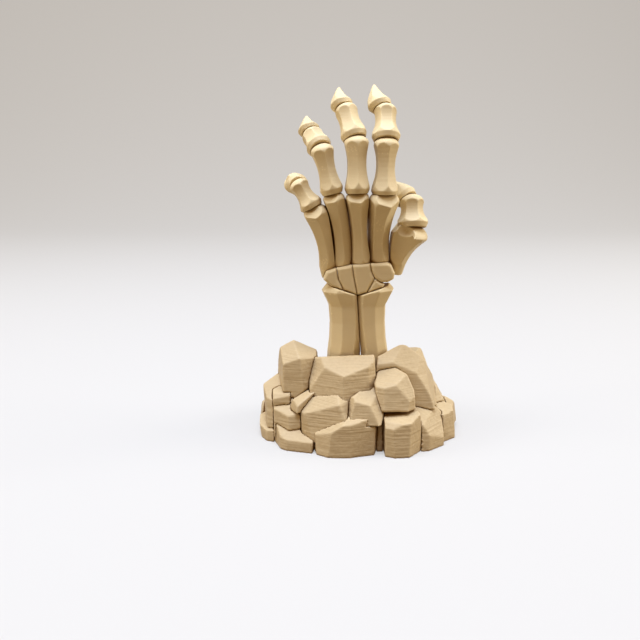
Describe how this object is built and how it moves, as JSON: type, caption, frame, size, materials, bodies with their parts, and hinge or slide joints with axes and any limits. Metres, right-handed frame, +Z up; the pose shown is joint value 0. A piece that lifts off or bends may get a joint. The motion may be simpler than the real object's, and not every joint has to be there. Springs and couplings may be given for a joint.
{
  "type": "skeletal hand sculpture",
  "caption": "Upright skeletal left hand with fluted bones and curled fingers, rising out of a faceted heap of boulders as a desk ornament.",
  "frame": {"origin": "middle of the flat underside of the boulder heap, on the surface that the sculpture stands on", "axes": "+Z up along the forearm and the hand; -Y towards the viewer, to the back of the hand; +X to the thumb side"},
  "size_m": [0.0733, 0.0534, 0.1197],
  "materials": {
    "bone": "matt cream print with faint horizontal layer lines",
    "stone": "matt cream print with rough faceted breaks and faint horizontal layer lines"
  },
  "bodies": {
    "root": {"ulna": "bone", "radius": "bone", "triquetral": "bone", "hamate": "bone", "capitate": "bone", "scaphoid": "bone", "trapezium": "bone", "index_metacarpal": "bone", "index_proximal": "bone", "index_middle": "bone", "index_distal": "bone", "middle_metacarpal": "bone", "middle_proximal": "bone", "middle_middle": "bone", "middle_distal": "bone", "ring_metacarpal": "bone", "ring_proximal": "bone", "ring_middle": "bone", "ring_distal": "bone", "little_metacarpal": "bone", "little_proximal": "bone", "little_middle": "bone", "little_distal": "bone", "thumb_metacarpal": "bone", "thumb_proximal": "bone", "thumb_distal": "bone", "front_slab": "stone", "front_toe": "stone", "front_right": "stone", "right_low": "stone", "right_toe": "stone", "centre_right": "stone", "centre_left": "stone", "right_middle": "stone", "step_left": "stone", "toe_left": "stone", "left_middle": "stone", "slim": "stone", "slab_left": "stone", "left_upper": "stone", "tall_left": "stone", "tall_right": "stone", "crest_right": "stone", "right_small": "stone", "front_wedge": "stone", "rear_low_1": "stone", "rear_low_2": "stone", "rear_low_3": "stone", "rear_low_4": "stone", "rear_low_5": "stone", "rear_low_6": "stone", "rear_low_7": "stone", "rear_high_1": "stone", "rear_high_2": "stone", "rear_high_3": "stone", "rear_high_4": "stone", "rear_high_5": "stone", "heap_core": "stone"}
  },
  "joints": []
}
